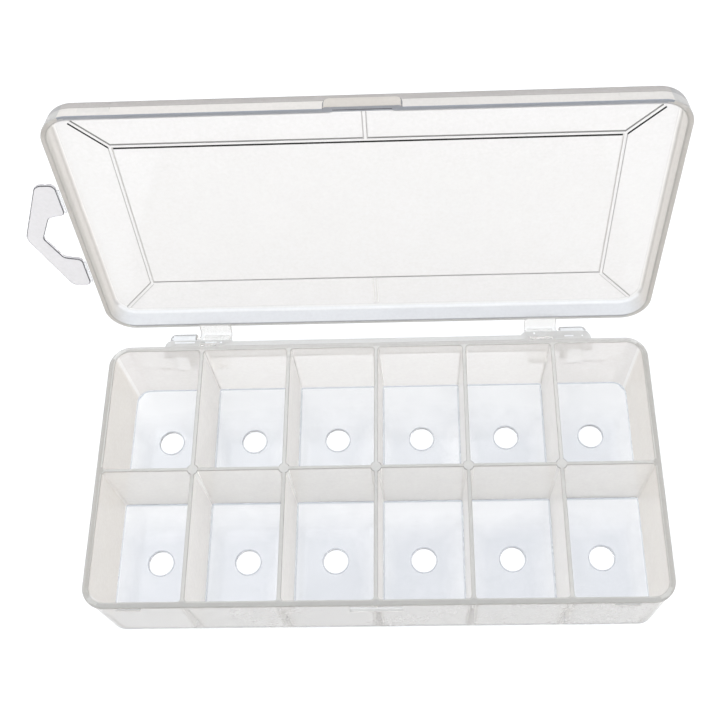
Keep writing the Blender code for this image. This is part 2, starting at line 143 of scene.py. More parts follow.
def soft_box(name, x0, x1, y0, y1, z0, z1, bevel=0.2, seg=2):
    bm = bmesh.new()
    bmesh.ops.create_cube(bm, size=2.0)
    for v in bm.verts:
        v.co = Vector(((x0 if v.co.x < 0 else x1) * MM,
                       (y0 if v.co.y < 0 else y1) * MM,
                       (z0 if v.co.z < 0 else z1) * MM))
    if bevel:
        bmesh.ops.bevel(bm, geom=list(bm.edges), offset=bevel * MM,
                        segments=seg, profile=0.5, affect="EDGES")
    bmesh.ops.recalc_face_normals(bm, faces=bm.faces)
    return mesh_object(name, bm)


def lathe_z(name, x, y, profile, n=40):
    """profile: (radius, z) from the bottom up, solid of revolution about Z."""
    rings = [[(x + r * math.cos(2 * math.pi * k / n),
               y + r * math.sin(2 * math.pi * k / n), z) for k in range(n)]
             for r, z in profile]
    return loft(name, rings)


def lathe_x(name, y, z, profile, n=40):
    """profile: (x, radius) along X, solid of revolution about the hinge line."""
    rings = [[(x, y + r * math.cos(2 * math.pi * k / n),
               z + r * math.sin(2 * math.pi * k / n)) for k in range(n)]
             for x, r in profile]
    return loft(name, rings)


def prism_x(name, pts, x0, x1, bevel=0.2, seg=2):
    """(y, z) outline extruded along X, with its end edges rounded."""
    bm = bmesh.new()
    a = [bm.verts.new((x0 * MM, y * MM, z * MM)) for y, z in pts]
    b = [bm.verts.new((x1 * MM, y * MM, z * MM)) for y, z in pts]
    n = len(pts)
    for i in range(n):
        j = (i + 1) % n
        bm.faces.new((a[i], a[j], b[j], b[i]))
    ends = [bm.faces.new(list(reversed(a))), bm.faces.new(b)]
    bmesh.ops.recalc_face_normals(bm, faces=bm.faces)
    if bevel:
        edges = {e for f in ends for e in f.edges}
        bmesh.ops.bevel(bm, geom=list(edges), offset=bevel * MM, segments=seg,
                        profile=0.5, affect="EDGES", clamp_overlap=True)
    return mesh_object(name, bm)


def prism_z(name, pts, z0, z1, bevel=0.2, seg=2):
    """(x, y) outline extruded along Z, with its edges rounded."""
    bm = bmesh.new()
    a = [bm.verts.new((x * MM, y * MM, z0 * MM)) for x, y in pts]
    b = [bm.verts.new((x * MM, y * MM, z1 * MM)) for x, y in pts]
    n = len(pts)
    for i in range(n):
        j = (i + 1) % n
        bm.faces.new((a[i], a[j], b[j], b[i]))
    ends = [bm.faces.new(list(reversed(a))), bm.faces.new(b)]
    bmesh.ops.recalc_face_normals(bm, faces=bm.faces)
    if bevel:
        edges = {e for f in ends for e in f.edges}
        bmesh.ops.bevel(bm, geom=list(edges), offset=bevel * MM, segments=seg,
                        profile=0.5, affect="EDGES", clamp_overlap=True)
    return mesh_object(name, bm)


def boolean(target, others, operation):
    for other in others:
        mod = target.modifiers.new(other.name, "BOOLEAN")
        mod.operation = operation
        mod.solver = "EXACT"
        mod.object = other
    bpy.context.view_layer.update()
    dg = bpy.context.evaluated_depsgraph_get()
    me = bpy.data.meshes.new_from_object(target.evaluated_get(dg))
    old = target.data
    target.modifiers.clear()
    target.data = me
    bpy.data.meshes.remove(old)
    for other in others:
        bpy.data.objects.remove(other, do_unlink=True)


def tidy(ob, sharp=32.0, flat=None):
    """Weld, merge coplanar faces, keep flat faces flat, smooth the rounds."""
    bm = bmesh.new()
    bm.from_mesh(ob.data)
    bmesh.ops.remove_doubles(bm, verts=bm.verts, dist=2e-6)
    bmesh.ops.dissolve_degenerate(bm, edges=bm.edges, dist=1e-6)
    bmesh.ops.dissolve_limit(bm, angle_limit=math.radians(0.15),
                             verts=bm.verts, edges=bm.edges)
    bm.to_mesh(ob.data)
    bm.free()
    ob.data.shade_smooth()
    ob.data.set_sharp_from_angle(angle=math.radians(sharp))
    if flat:
        edges = {tuple(sorted(k)) for p in ob.data.polygons
                 if flat(p.center / MM, p.normal, p.area / MM ** 2)
                 for k in p.edge_keys}
        mark = ob.data.attributes.get("sharp_edge") or \
            ob.data.attributes.new("sharp_edge", "BOOLEAN", "EDGE")
        for e in ob.data.edges:
            if tuple(sorted(e.vertices)) in edges:
                mark.data[e.index].value = True


def paint(ob, rule):
    """Tint and milkiness of each face, which also carry painted shade, painted
    dark lines and painted highlights: rule(centre in mm, normal) -> rgba.
    """
    me = ob.data
    layer = me.color_attributes.new("tone", "FLOAT_COLOR", "CORNER")
    for poly in me.polygons:
        c = poly.center / MM
        value = rule(c, poly.normal)
        for li in poly.loop_indices:
            layer.data[li].color = value


def show(ob, name, body, nodes, material):
    ob.name = name
    ob.data.name = name
    work.objects.unlink(ob)
    shown.objects.link(ob)
    ob.data.materials.clear()
    ob.data.materials.append(material)
    wn = ob.modifiers.new("weighted_normals", "WEIGHTED_NORMAL")
    wn.keep_sharp = True
    wn.weight = 95
    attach(ob, body)
    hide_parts(*nodes)
    return ob


# -------------------------------------------------------------- materials ---
def clear_plastic(name, rough, grain, shadow_tint, density, warm, cool,
                  even=False, cells=False):
    """Natural polypropylene: clear but slightly milky, with a fine grain.

    A principled transmission shader and a share of diffuse haze. The face
    attribute "tone" holds the tint and the share of haze: partly because a
    moulded rim looks greyer along its depth than a thin panel does, partly as
    painted shade, painted dark edge lines and painted highlights. Shadow rays
    and diffuse rays pass almost straight through."""
    m = bpy.data.materials.new(name)
    m.use_nodes = True
    nt = m.node_tree
    nt.nodes.clear()

    def node(kind, **values):
        n = nt.nodes.new(kind)
        for key, value in values.items():
            if hasattr(n, key):
                setattr(n, key, value)
        return n

    def link(a, b):
        nt.links.new(a, b)

    def math_node(op, a, b, clamp=False):
        n = node("ShaderNodeMath", operation=op, use_clamp=clamp)
        for i, v in enumerate((a, b)):
            if isinstance(v, (int, float)):
                n.inputs[i].default_value = v
            else:
                link(v, n.inputs[i])
        return n.outputs[0]

    def noise(scale, detail=2.0, rough_=0.5, vector=None):
        n = node("ShaderNodeTexNoise")
        n.inputs["Scale"].default_value = scale
        n.inputs["Detail"].default_value = detail
        n.inputs["Roughness"].default_value = rough_
        link(vector or coord, n.inputs["Vector"])
        return n.outputs["Fac"]

    def ramp(value, lo, hi, to_lo, to_hi):
        n = node("ShaderNodeMapRange")
        n.inputs["From Min"].default_value = lo
        n.inputs["From Max"].default_value = hi
        n.inputs["To Min"].default_value = to_lo
        n.inputs["To Max"].default_value = to_hi
        link(value, n.inputs["Value"])
        return n.outputs["Result"]

    def mix_colour(kind, fac, a, b):
        n = node("ShaderNodeMix", data_type="RGBA", blend_type=kind)
        for sock, v in (("Factor_Float", fac), ("A_Color", a), ("B_Color", b)):
            inp = next(i for i in n.inputs if i.identifier == sock)
            if isinstance(v, (int, float)):
                inp.default_value = v
            elif isinstance(v, tuple):
                inp.default_value = (*v, 1.0)
            else:
                link(v, inp)
        return next(o for o in n.outputs if o.identifier == "Result_Color")

    out = node("ShaderNodeOutputMaterial")
    tex = node("ShaderNodeTexCoord")
    coord = tex.outputs["Object"]
    geo = node("ShaderNodeNewGeometry")
    tone = node("ShaderNodeAttribute", attribute_name="tone",
                attribute_type="GEOMETRY")

    cloud = noise(42.0, 5.0, 0.6)
    mottle = noise(900.0, 2.0, 0.6)

    # tint: face tone, with a mottle of about a millimetre
    flat = node("ShaderNodeCombineColor")
    gain = ramp(mottle, 0.25, 0.75, 0.985 if even else 0.972, 1.0)
    for i in range(3):
        link(gain, flat.inputs[i])
    tint = mix_colour("MULTIPLY", 1.0, tone.outputs["Color"],
                      flat.outputs["Color"])
    sep = node("ShaderNodeSeparateXYZ")
    link(geo.outputs["Normal"], sep.inputs["Vector"])

    painted_light_clearing = None
    if cells:
        # each cell floor: painted shade, a bluish-grey patch in the middle of
        # the cell, and painted light beside the walls, where the tint is kept
        # clear and the haze thinned
        at = node("ShaderNodeSeparateXYZ")
        link(coord, at.inputs["Vector"])
        across = math_node("FRACT", math_node(
            "MULTIPLY", at.outputs["X"], 1.0 / (PITCH * MM)), 0.0)
        across = math_node("ABSOLUTE", math_node("SUBTRACT", across, 0.45), 0.0)
        across = ramp(across, 0.24, 0.44, 0.0, 0.55)
        rear = ramp(at.outputs["Y"], 0.020, 0.034, 0.0, 1.0)
        front = math_node("MULTIPLY", ramp(at.outputs["Y"], -0.015, -0.004,
                                           0.0, 1.0),
                          math_node("LESS_THAN", at.outputs["Y"], 0.0))
        near = math_node("MAXIMUM", math_node("ADD", rear, front), across)
        near = math_node("ADD", near, ramp(cloud, 0.35, 0.65, -0.22, 0.22),
                         clamp=True)
        on_floor = math_node("MULTIPLY",
                             math_node("GREATER_THAN", sep.outputs["Z"], 0.9),
                             math_node("LESS_THAN", at.outputs["Z"], 0.0016))
        shade = mix_colour("MIX", near, (0.865, 0.873, 0.892), (1.0, 1.0, 1.0))
        shaded = mix_colour("MULTIPLY", 1.0, tint, shade)
        tint = mix_colour("MIX", on_floor, tint, shaded)
        painted_light_clearing = math_node("SUBTRACT", 1.0, math_node(
            "MULTIPLY", math_node("MULTIPLY", near, on_floor), 0.75))

    bsdf = node("ShaderNodeBsdfPrincipled")
    link(tint, bsdf.inputs["Base Color"])
    bsdf.inputs["IOR"].default_value = 1.49
    bsdf.inputs["Transmission Weight"].default_value = 1.0
    link(ramp(cloud, 0.30, 0.70, rough[0], rough[1]),
         bsdf.inputs["Roughness"])

    # bump: moulding grain over slow flow marks
    height = math_node("ADD", math_node("MULTIPLY", noise(90.0), 3.0),
                       math_node("MULTIPLY", noise(420.0), 0.15))
    bump = node("ShaderNodeBump")
    bump.inputs["Strength"].default_value = grain
    bump.inputs["Distance"].default_value = 0.00004
    link(height, bump.inputs["Height"])
    link(bump.outputs["Normal"], bsdf.inputs["Normal"])

    # haze: light scattered inside; faces that look up take the cooler tint, a
    # painted reflection of the bluish sky
    skyward = ramp(sep.outputs["Z"], 0.2, 0.9, 0.0, 1.0)
    milk_tint = mix_colour("MIX", skyward, warm, cool)
    milk_tint = mix_colour("MULTIPLY", 1.0, milk_tint, tint)
    body = node("ShaderNodeBsdfDiffuse")
    link(milk_tint, body.inputs["Color"])
    thru = node("ShaderNodeBsdfTranslucent")
    link(milk_tint, thru.inputs["Color"])
    milk = node("ShaderNodeMixShader")
    milk.inputs["Fac"].default_value = 0.5
    link(body.outputs["BSDF"], milk.inputs[1])
    link(thru.outputs["BSDF"], milk.inputs[2])

    fac = math_node("MULTIPLY", tone.outputs["Alpha"],
                    ramp(cloud, 0.25, 0.75, 0.98 if even else 0.93,
                         1.02 if even else 1.07))
    fac = math_node("MULTIPLY", fac, ramp(mottle, 0.25, 0.75, 1.05, 0.95),
                    clamp=True)
    # painted light: less haze on the floor beside the cell walls
    if painted_light_clearing is not None:
        fac = math_node("MULTIPLY", fac, painted_light_clearing)
    mix = node("ShaderNodeMixShader")
    link(fac, mix.inputs["Fac"])
    link(bsdf.outputs["BSDF"], mix.inputs[1])
    link(milk.outputs["Shader"], mix.inputs[2])

    # lamps and light bounced off the floor reach through the plastic
    lp = node("ShaderNodeLightPath")
    clear = node("ShaderNodeBsdfTransparent")
    clear.inputs["Color"].default_value = (*shadow_tint, 1.0)
    bounce = node("ShaderNodeMixShader")
    link(lp.outputs["Is Diffuse Ray"], bounce.inputs["Fac"])
    link(mix.outputs["Shader"], bounce.inputs[1])
    link(clear.outputs["BSDF"], bounce.inputs[2])
    last = node("ShaderNodeMixShader")
    link(lp.outputs["Is Shadow Ray"], last.inputs["Fac"])
    link(bounce.outputs["Shader"], last.inputs[1])
    link(clear.outputs["BSDF"], last.inputs[2])
    link(last.outputs["Shader"], out.inputs["Surface"])

    vol = node("ShaderNodeVolumeAbsorption")
    vol.inputs["Color"].default_value = (0.50, 0.485, 0.455, 1.0)
    vol.inputs["Density"].default_value = density
    link(vol.outputs["Volume"], out.inputs["Volume"])
    return m


# haze tints: WARM for faces that look sideways or down, COOL for faces that look
# up, a painted sky reflection
WARM, COOL = (0.92, 0.89, 0.855), (0.86, 0.87, 0.885)
pp_tray = clear_plastic("clear_pp_tray", (0.03, 0.08), 0.03,
                        (0.965, 0.965, 0.965), 26.0, WARM, COOL, cells=True)
pp_lid = clear_plastic("clear_pp_lid", (0.03, 0.08), 0.015,
                       (0.975, 0.975, 0.975), 36.0, WARM, COOL)
pp_tab = clear_plastic("clear_pp_tab", (0.03, 0.06), 0.02,
                       (0.97, 0.97, 0.97), 30.0, (0.86, 0.85, 0.86),
                       (0.84, 0.84, 0.86), even=True)

# ------------------------------------------------------------------- tray ---
CR = 6.8


def wall_level(z):
    t = z / 28.4
    return tuple(a + (b - a) * t for a, b in zip(WALL_LO, WALL_HI))


levels = []
er = 1.1
for k in range(6):
    a = math.radians(90.0 * k / 5)
    z = er - er * math.cos(a)
    ins = er - er * math.sin(a)
    hx, hy = wall_level(z)
    levels.append((z, ins, hx, hy))
for z in (10.0, 20.0, 28.4):
    hx, hy = wall_level(z)
    levels.append((z, 0.0, hx, hy))
for z, ox in ((28.55, 0.16), (28.68, 0.05), (28.85, 0.0), (29.12, 0.0),
              (29.28, 0.06), (29.40, 0.18), (29.475, 0.36), (29.5, 0.60),
              (29.505, 1.38)):
    levels.append((z, ox, RIM[0], RIM[1]))
tray = rect_loft("tray_body", [
    (z, -hx + i, hx - i, -hy + i, hy - i, CR - (RIM[0] - hx) - i * 0.9)
    for z, i, hx, hy in levels], seg=14)

adds = []
# shelf on the back wall
shelf = [(-69.3, 41.0), (69.3, 41.0), (69.3, 45.3), (68.9, 46.6),
         (68.3, 47.6), (67.5, 48.1), (47.9, 48.1), (47.3, 47.6),
         (46.5, 46.8), (-46.9, 46.8), (-47.4, 47.3), (-67.2, 47.3),
         (-68.3, 47.0), (-69.0, 46.2), (-69.3, 45.4)]
adds.append(prism_z("shelf", shelf, 23.6, 24.4, bevel=0.18))
for x0, x1 in ((-73.7, -67.6), (67.4, 70.4), (72.1, 74.0)):
    adds.append(soft_box("wall_step", x0, x1, 41.2, 42.5, 15.4, 15.9, 0.14))
for s in (-1, 1):
    x0, x1 = EAR_X
    r = EAR_R
    prof = [(x0, r - 0.35), (x0 + 0.1, r - 0.12), (x0 + 0.35, r)]
    for k in range(7):
        a = math.radians(90.0 * k / 6)
        prof.append((x1 - 1.9 + 1.9 * math.sin(a), r - 1.9 + 1.9 * math.cos(a)))
    adds.append(lathe_x("ear", HINGE_Y, HINGE_Z,
                        [(s * x, rr) for x, rr in prof]))
    xs = sorted((s * 61.7, s * 66.8))
    adds.append(prism_x("gusset", [
        (41.2, 14.4), (42.9, 14.4), (43.4, 14.7), (HINGE_Y + 1.3, HINGE_Z - 1.9),
        (HINGE_Y + 0.2, HINGE_Z + 0.4), (HINGE_Y - 0.8, 24.0),
        (41.2, 24.0)], *xs, bevel=0.3))
    xs = sorted((s * EAR_X[0], s * (EAR_X[0] + 1.5)))
    adds.append(prism_x("ear_web", [
        (41.2, 18.6), (43.0, 18.6), (HINGE_Y + 1.2, HINGE_Z - 1.7),
        (HINGE_Y + 0.1, HINGE_Z + 0.3), (HINGE_Y - 0.9, 23.9),
        (41.2, 23.9)], *xs, bevel=0.2))
    xs = sorted((s * 49.3, s * 57.6))
    adds.append(prism_x("stop_shelf", [
        (41.2, 15.4), (42.6, 15.4), (43.0, 15.5), (51.3, 17.0), (51.8, 17.3),
        (51.9, 17.7), (51.9, 18.4), (51.6, 18.72), (50.0, 19.0), (49.7, 18.9),
        (49.5, 18.5), (49.2, 18.3), (41.2, 18.3)], *xs, bevel=0.25))
# catches on the front wall
adds.append(prism_x("catch", [(-41.2, 24.6), (-42.75, 24.6), (-43.1, 24.8),
                              (-43.2, 25.1), (-43.15, 25.6), (-42.6, 26.1),
                              (-41.2, 26.2)], -7.8, 7.8, bevel=0.25))
for s in (-1, 1):
    xs = sorted((s * 68.1, s * 75.4))
    adds.append(prism_x("snap_bead", [(-41.4, 26.65), (-42.55, 26.7),
                                      (-42.75, 26.95), (-42.78, 27.3),
                                      (-42.6, 27.8), (-41.4, 28.0)], *xs,
                        bevel=0.2))
boolean(tray, adds, "UNION")

cuts = []
LEAD = 0.34                        # rounding of rim and wall tops


def inner_level(z, flare, inset):
    """Inner half sizes and half thicknesses of the walls at height z."""
    t = (z - FLOOR_T) / (TRAY_H - FLOOR_T)
    hx = IN_FLOOR[0] + (IN_TOP[0] - IN_FLOOR[0]) * t + flare - inset
    hy = IN_FLOOR[1] + (IN_TOP[1] - IN_FLOOR[1]) * t + flare - inset
    dv = DIV_FLOOR + (DIV_TOP - DIV_FLOOR) * t - flare + inset
    md = MID_FLOOR + (MID_TOP - MID_FLOOR) * t - flare + inset
    return hx, hy, dv, md


steps = []
fr = 0.55
for k in range(4):
    a = math.radians(90.0 * k / 3)
    steps.append((FLOOR_T + fr - fr * math.cos(a), 0.0, fr - fr * math.sin(a)))
steps.append((12.0, 0.0, 0.0))
steps.append((TRAY_H - LEAD, 0.0, 0.0))
for k in range(1, 4):
    a = math.radians(90.0 * k / 4)
    steps.append((TRAY_H - LEAD + LEAD * math.sin(a),
                  LEAD - LEAD * math.cos(a), 0.0))
steps.append((TRAY_H + 0.6, LEAD + 0.02, 0.0))
for j in (-1, 1):
    for i in range(6):
        lv = []
        for z, flare, inset in steps:
            hx, hy, dv, md = inner_level(z, flare, inset)
            x0 = -hx if i == 0 else (i - 3) * PITCH + dv
            x1 = hx if i == 5 else (i - 2) * PITCH - dv
            ys = (md, hy) if j > 0 else (-hy, -md)
            r = [0.9] * 4
            if i == 0:
                r[3 if j > 0 else 0] = 4.6
            if i == 5:
                r[2 if j > 0 else 1] = 4.6
            r = tuple(max(q + flare - inset, 0.15) for q in r)
            lv.append((z, x0, x1, ys[0], ys[1], r))
        cuts.append(rect_loft("cell_%d_%d" % (i, j + 1), lv, seg=7))
        cuts.append(lathe_z("hole_%d_%d" % (i, j + 1), (i - 2.5) * PITCH,
                            j * HOLE_Y,
                            [(HOLE_R + 0.22, -0.5), (HOLE_R + 0.22, 0.0),
                             (HOLE_R + 0.02, 0.16), (HOLE_R, 0.9),
                             (HOLE_R + 0.03, 1.05), (HOLE_R + 0.06, 1.16),
                             (HOLE_R + 0.32, 1.3), (HOLE_R + 0.4, 2.0)], n=64))
boolean(tray, cuts, "DIFFERENCE")

posts = []
for k in range(1, 6):
    x = (k - 3) * PITCH
    posts.append(lathe_z("post", x, 0.0, [
        (1.80, 0.5), (1.72, TRAY_H - 0.24), (1.66, TRAY_H - 0.09),
        (1.50, TRAY_H + 0.0), (1.15, TRAY_H + 0.03)], n=40))
    posts.append(lathe_z("pad", x, -41.40, [
        (0.80, 24.0), (1.05, TRAY_H - 0.10), (1.0, TRAY_H + 0.01),
        (0.80, TRAY_H + 0.03)], n=28))
for s in (-1, 1):
    posts.append(lathe_z("end_pad", s * 84.1, 0.0, [
        (0.85, 22.0), (1.22, TRAY_H - 0.10), (1.15, TRAY_H + 0.01),
        (0.9, TRAY_H + 0.03)], n=28))
boolean(tray, posts, "UNION")
bores = [lathe_x("bore", HINGE_Y, HINGE_Z,
                 [(s * 58.2, 1.35), (s * 65.6, 1.35)], n=32) for s in (-1, 1)]
for x0, x1, y0, y1 in ((-66.1, -59.5, 46.1, 46.7), (-56.2, -52.3, 46.1, 46.6),
                       (-51.2, -50.6, 46.0, 46.6), (50.7, 51.3, 46.9, 47.6),
                       (60.6, 63.6, 45.9, 46.4), (66.1, 66.6, 45.9, 46.4)):
    bores.append(soft_box("mark", x0, x1, y0, y1, 24.37, 24.6, 0.1))
bores += [soft_box("slot_b", -57.9, -52.4, 45.0, 46.0, 23.0, 25.0, 0.2),
          soft_box("slot_c", 49.4, 56.9, 45.0, 46.0, 23.0, 25.0, 0.2)]
boolean(tray, bores, "DIFFERENCE")
tidy(tray)


def tray_tone(c, n):
    """Rim and wall tops look down the wall's depth and carry painted shade,
    darker at the front; hole edges, the floor crease, the front foot and the
    bead undersides are painted dark lines; the shelf slots are painted
    highlights.
    """
    x, y, z = c
    if y > 42.6:                                   # shelf and hinge ears
        if 23.0 < z < 24.6 and abs(x) < 69.5:
            if n.z > 0.9:
                # painted highlight: the floors of the slot marks are white
                if z < 24.39:
                    return (1.0, 1.0, 1.0, 0.90)
                return (0.72, 0.705, 0.68, 0.65)
            if n.z < -0.9:
                return (0.97, 0.965, 0.955, 0.15)
            # painted highlight on the slot sides and the shelf's front faces;
            # the rear edge and ends below are painted dark lines
            if y < 46.75 and abs(x) < 69.0 or z > 24.36:
                return (1.0, 1.0, 1.0, 0.90)
            return (0.50, 0.50, 0.50, 0.60)
        if n.y > 0.5 and z > 21.0:
            return (1.0, 1.0, 0.99, 0.85)
        if max(abs(n.x), abs(n.y), abs(n.z)) < 0.97 and z > 22.5:
            return (1.0, 1.0, 0.98, 0.50)
        return (1.0, 0.99, 0.965, 0.18)
    if y < -42.3 and 24.4 < z < 28.2:              # catch and snap beads
        # painted shade: the undersides of the catch and beads are dark
        if n.z < -0.3:
            return (0.33, 0.33, 0.33, 0.65)
        return (0.84, 0.83, 0.81, 0.50)
    post = min(math.hypot(x - k * PITCH, y) for k in (-2, -1, 0, 1, 2))
    if post < 1.85 and z > TRAY_H - 0.6:
        # post heads: a light top, and a painted dark outline on the rounded side
        if n.z > 0.9:
            return (0.90, 0.885, 0.85, 0.55)
        return (0.44, 0.435, 0.42, 0.55)
    if z > TRAY_H - 1.0:
        if n.z < 0.35:                             # outer bead, wall tops
            # painted dark line along the front of the outer bead
            if y < -41.9:
                return (0.33, 0.33, 0.325, 0.65)
            return (0.64, 0.63, 0.61, 0.55)
        # rim tops are grey for the plastic's depth; the front rim is painted
        # darker than the back as painted shade
        if y < -40.9:
            return (0.585, 0.575, 0.545, 0.65)
        if y > 40.9:
            return (0.73, 0.71, 0.68, 0.60)
        if abs(x) > 83.4:
            return (0.60, 0.583, 0.545, 0.65)
        if abs(y) < 1.5 and abs(n.y) > 0.2:        # middle wall's edges
            # painted shade: the middle wall's front edge is darker than its back
            # edge
            if n.y < 0:
                return (0.55, 0.54, 0.51, 0.60)
            return (0.72, 0.71, 0.68, 0.55)
        if n.z < 0.9:
            return (0.66, 0.65, 0.615, 0.55)
        if y > 1.5:
            return (0.87, 0.855, 0.82, 0.60)
        return (0.77, 0.755, 0.72, 0.60)
    # painted dark line along the foot of the front face
    if z < 1.1 and y < -39.8 and n.y < -0.1:       # foot of the front face
        return (0.56, 0.56, 0.55, 0.55)
    if z < 1.35:
        if n.z > 0.98 and z > 1.0:
            # painted light: rear-row floors are lighter and clearer than the
            # front row, clearest in the end cells
            if y < 0:
                return (0.965, 0.965, 0.97, 0.23)
            return (1.0, 1.0, 0.997, 0.12 if abs(x) > 56.0 else 0.22)
        # hole edges: a painted grey-blue outline
        near_hole = abs(n.z) < 0.97 and abs(x) < 82 and abs(y) < 39
        if near_hole:
            return (0.64, 0.66, 0.69, 0.35)
        return (0.97, 0.97, 0.97, 0.15)
    # painted shade in the crease between floor and walls, darker on the fillets
    # that face the front
    if z < 2.0 and n.z > 0.2:
        if n.y < -0.2:
            return (0.60, 0.64, 0.71, 0.30)
        return (0.74, 0.77, 0.82, 0.30)
    if y < -41.0 and n.y < -0.5:                   # front face
        return (0.74, 0.73, 0.715, 0.31)
    if abs(n.x) > 0.9 and abs(x) > 82.0:           # end walls
        return (0.87, 0.845, 0.81, 0.42)
    if abs(n.x) > 0.9:                             # dividers
        # painted light: divider faces towards +X are milkier and lighter than
        # those towards -X
        return (1.0, 1.0, 1.0, 0.78 if n.x > 0 else 0.50)
    if y > 39.0:                                   # back wall
        if abs(x) > 56.0:
            return (0.90, 0.885, 0.875, 0.38)
        return (1.0, 0.99, 0.98, 0.34)
    return (1.0, 0.995, 0.985, 0.38)


paint(tray, tray_tone)
show(tray, "tray_moulding", "tray", ["tray"], pp_tray)

# -------------------------------------------------------------------- lid ---
axis = Vector((0.0, HINGE_Y * MM, HINGE_Z * MM))
swing = (Matrix.Translation(axis) @
         Matrix.Rotation(math.radians(-OPEN_DEG), 4, "X") @
         Matrix.Translation(-axis))

lv = []
LR = 9.0


def lid_half(w):
    t = w / LID_H
    return tuple(a + (b - a) * t for a, b in zip(LID_RIM, LID_TOP))


# the slight kink between w 3.60 and 3.85 splits off a strip of faces for a
# painted dark line
for w, ins in ((0.0, 0.78), (0.006, 0.50), (0.03, 0.30), (0.10, 0.15),
               (0.22, 0.05), (0.40, 0.0), (3.60, 0.0), (3.85, -0.010),
               (5.7, 0.0)):
    hx, hy = lid_half(w)
    lv.append((Z0 + w, -hx + ins, hx - ins, -hy + ins, hy - ins, LR - ins))
for k in range(1, 7):
    a = math.radians(90.0 * k / 6)
    w = 5.7 + 1.5 * math.sin(a)
    ins = 1.5 - 1.5 * math.cos(a)
    hx, hy = lid_half(w)
    lv.append((Z0 + w, -hx + ins, hx - ins, -hy + ins, hy - ins,
               LR - ins * 0.9))
lid = rect_loft("lid_body", lv, seg=16)

lip_rings = []
for w, ox, oy in ((0.0, 0.15, 0.15), (0.15, 0.0, 0.0), (2.1, 0.0, 0.02),
                  (2.9, 0.20, 0.10), (3.5, 0.65, 0.25), (3.9, 1.2, 0.45),
                  (4.15, 1.9, 0.70)):
    hw = 10.6 - ox
    pts = rounded_rect(-hw, hw, -LID_RIM[1] - 0.75 + oy, -43.9,
                       (0.7, 0.7, 0.05, 0.05), 4)
    lip_rings.append([(x, y, Z0 + w) for x, y in pts])
marks = [loft("lip", lip_rings)]
# window marks: raised patches on the outer wall, painted lighter as the light
# showing through the windows behind
for s in (-1, 1):
    xs = sorted((s * 67.4, s * 76.1))
    marks.append(soft_box("window_mark", xs[0], xs[1], -44.64, -44.0,
                          Z0 + 1.5, Z0 + 3.4, 0.02, 1))
for x0, x1 in ((-43.9, -41.2), (-15.7, -12.7), (-8.8, -6.4), (12.8, 15.5),
               (41.5, 44.2)):
    marks.append(soft_box("rim_pad", x0, x1, 43.55, 44.3, Z0 - 0.015,
                          Z0 + 0.3, 0.03, 1))
# pads at the arm roots, painted white as a highlight
for s in (-1, 1):
    xs = sorted((s * 48.9, s * 58.0))
    marks.append(soft_box("arm_root_highlight", xs[0], xs[1], 43.55, 44.6, Z0 - 0.015,
                          Z0 + 0.3, 0.03, 1))
# a thin bar on the rim land, painted black as the dark line along the groove's
# edge
marks.append(soft_box("groove_edge_dark_line", -7.9, 7.9, -44.45, -44.0, Z0 - 0.015,
                      Z0 + 0.3, 0.03, 1))
boolean(lid, marks, "UNION")

rec = []
for w, d in ((-0.5, 1.10), (-0.004, 1.10), (0.010, 0.50), (0.03, 0.30),
             (0.06, 0.17), (0.20, 0.04), (0.35, 0.0), (2.4, -0.05), (4.3, -0.09),
             (4.8, -0.10)):
    rec.append((Z0 + w, -86.05 - d, 86.05 + d, -43.15 - d, 43.15 + d,
                7.3 + d))
pan = []
for w, ins in ((4.6, 0.0), (5.0, 0.02), (5.3, 0.10), (5.55, 0.24),
               (5.75, 0.46), (5.88, 0.72), (5.96, 1.05), (6.0, 1.45)):
    pan.append((Z0 + w, -85.95 + ins, 85.95 - ins, -43.05 + ins, 43.05 - ins,
                7.2 - 0.8 * ins))
grooves = [soft_box("groove", -8.3, 8.3, -43.75, -42.0, Z0 - 0.5, Z0 + 2.2,
                    0.25)]
for s in (-1, 1):
    xs = sorted((s * 67.4, s * 76.1))
    grooves.append(soft_box("window", xs[0], xs[1], -43.5, -42.0,
                            Z0 + 1.2, Z0 + 3.9, 0.3))
boolean(lid, [rect_loft("rim_recess", rec, seg=14),
              rect_loft("panel_recess", pan, seg=12)] + grooves, "DIFFERENCE")

# ribs: low rounded section on a thin root fillet, standing on the panel
z_in = Z0 + PANEL_W
y_of = lambda v: LID_RIM[1] - v
RIB = ((0.50, 0.30), (0.48, -0.06), (0.45, -0.16), (0.39, -0.25),
       (0.28, -0.29))
ROOT = ((1.0, 0.30), (1.0, -0.004), (0.86, -0.030), (0.0, -0.07))


def rib_bar(length, lo, left, right, dz):
    """Straight rib along +X; left and right are its root fillets' reach."""
    out = []
    for prof, scale_l, scale_r in ((RIB, 1.0, 1.0), (ROOT, left, right)):
        if prof is ROOT:
            sec = [(-scale_r, z_in + 0.28), (-scale_r, z_in - 0.004 + dz),
                   (-scale_r + 0.05, z_in - 0.030 + dz),
                   (scale_l - 0.05, z_in - 0.030 + dz),
                   (scale_l, z_in - 0.004 + dz), (scale_l, z_in + 0.28)]
        else:
            sec = [(-y, z_in + z + dz) for y, z in prof] + \
                [(y, z_in + z + dz) for y, z in reversed(prof)]
        out.append(prism_x("rib", sec, lo, length, bevel=0.0))
    return out


ribs = []
yr = (y_of(RIB_V[0]), y_of(RIB_V[1]))


def place(bars, x, y, turn):
    for b in bars:
        b.data.transform(Matrix.Translation((x * MM, y * MM, 0)) @
                         Matrix.Rotation(math.radians(turn), 4, "Z"))
        ribs.append(b)


